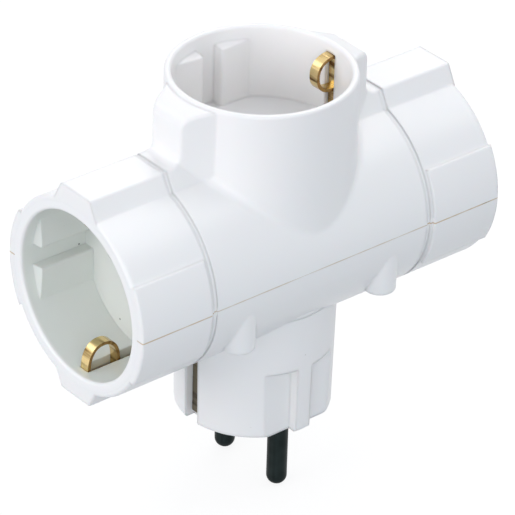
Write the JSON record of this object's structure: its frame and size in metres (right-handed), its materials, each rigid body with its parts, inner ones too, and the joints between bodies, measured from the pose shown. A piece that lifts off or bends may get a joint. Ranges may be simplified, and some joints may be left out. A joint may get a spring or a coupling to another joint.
{
  "type": "multi socket adapter",
  "caption": "Plug-in mains adapter: a horizontal white barrel with a socket recess in each end and one on top, over a round keyed plug body with pins.",
  "frame": {"origin": "centre of the plug body's flat face, midway between the two pins", "axes": "+Z from the plug's face up through the top socket, X along the barrel, Y through the two plug pins, +Y to the live pin"},
  "size_m": [0.1024, 0.048, 0.1046],
  "materials": {
    "housing_shell": "satin",
    "socket_cup": "satin",
    "inner_moulding": "matte",
    "earth_brass": "bright rolled",
    "strap_brass": "rolled",
    "contact_brass": "rolled",
    "pin_metal": "dark plated",
    "screw_steel": "zinc plated"
  },
  "bodies": {
    "root": {"upper_housing": "housing_shell", "lower_housing": "housing_shell", "left_socket_cup": "socket_cup", "right_socket_cup": "socket_cup", "pin_carrier": "inner_moulding", "top_clip_left": "earth_brass", "top_clip_right": "earth_brass", "left_clip_upper": "earth_brass", "left_clip_lower": "earth_brass", "right_clip_upper": "earth_brass", "right_clip_lower": "earth_brass", "left_earth_strap": "strap_brass", "right_earth_strap": "strap_brass", "earth_bridge": "strap_brass", "live_busbar": "contact_brass", "neutral_busbar": "contact_brass", "top_live_sleeve": "contact_brass", "top_neutral_sleeve": "contact_brass", "left_live_sleeve": "contact_brass", "left_neutral_sleeve": "contact_brass", "right_live_sleeve": "contact_brass", "right_neutral_sleeve": "contact_brass", "live_pin": "pin_metal", "neutral_pin": "pin_metal", "housing_screws": "screw_steel"}
  },
  "joints": []
}
